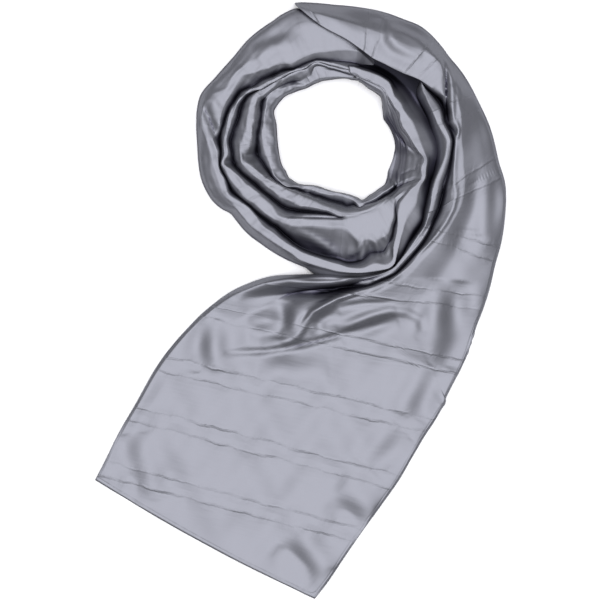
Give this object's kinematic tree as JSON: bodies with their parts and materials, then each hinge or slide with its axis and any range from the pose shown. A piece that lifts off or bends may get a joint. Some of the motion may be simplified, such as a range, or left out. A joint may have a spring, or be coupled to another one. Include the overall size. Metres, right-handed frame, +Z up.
{
  "type": "evening stole",
  "caption": "Satin evening stole of double cloth, wound once round itself into a pleated ring with one wide end spread out, lying flat on a surface",
  "frame": {"origin": "middle of the underside, on the surface the stole lies on", "axes": "+Z up; +Y from the wide end's side to the ring's side, along the longest extent; +X to the side that the ring's outer edge bulges to"},
  "size_m": [0.6979, 1.0124, 0.036],
  "materials": {
    "satin": "silver-grey polyester satin, lustrous face out",
    "satin_inside": "the same satin in the hidden layers"
  },
  "bodies": {
    "root": {"end_panel": "satin", "right_turn": "satin", "top_turn": "satin", "inner_right_face": "satin", "inner_top_face": "satin", "upper_left_turn": "satin", "left_turn": "satin", "bottom_turn": "satin", "hidden_layers_tail": "satin_inside", "hidden_layers_right": "satin_inside", "hidden_layers_top": "satin_inside", "hidden_layers_inner_right": "satin_inside", "hidden_layers_inner_top": "satin_inside", "hidden_layers_upper_left": "satin_inside", "hidden_layers_left": "satin_inside", "hidden_layers_bottom": "satin_inside"}
  },
  "joints": []
}
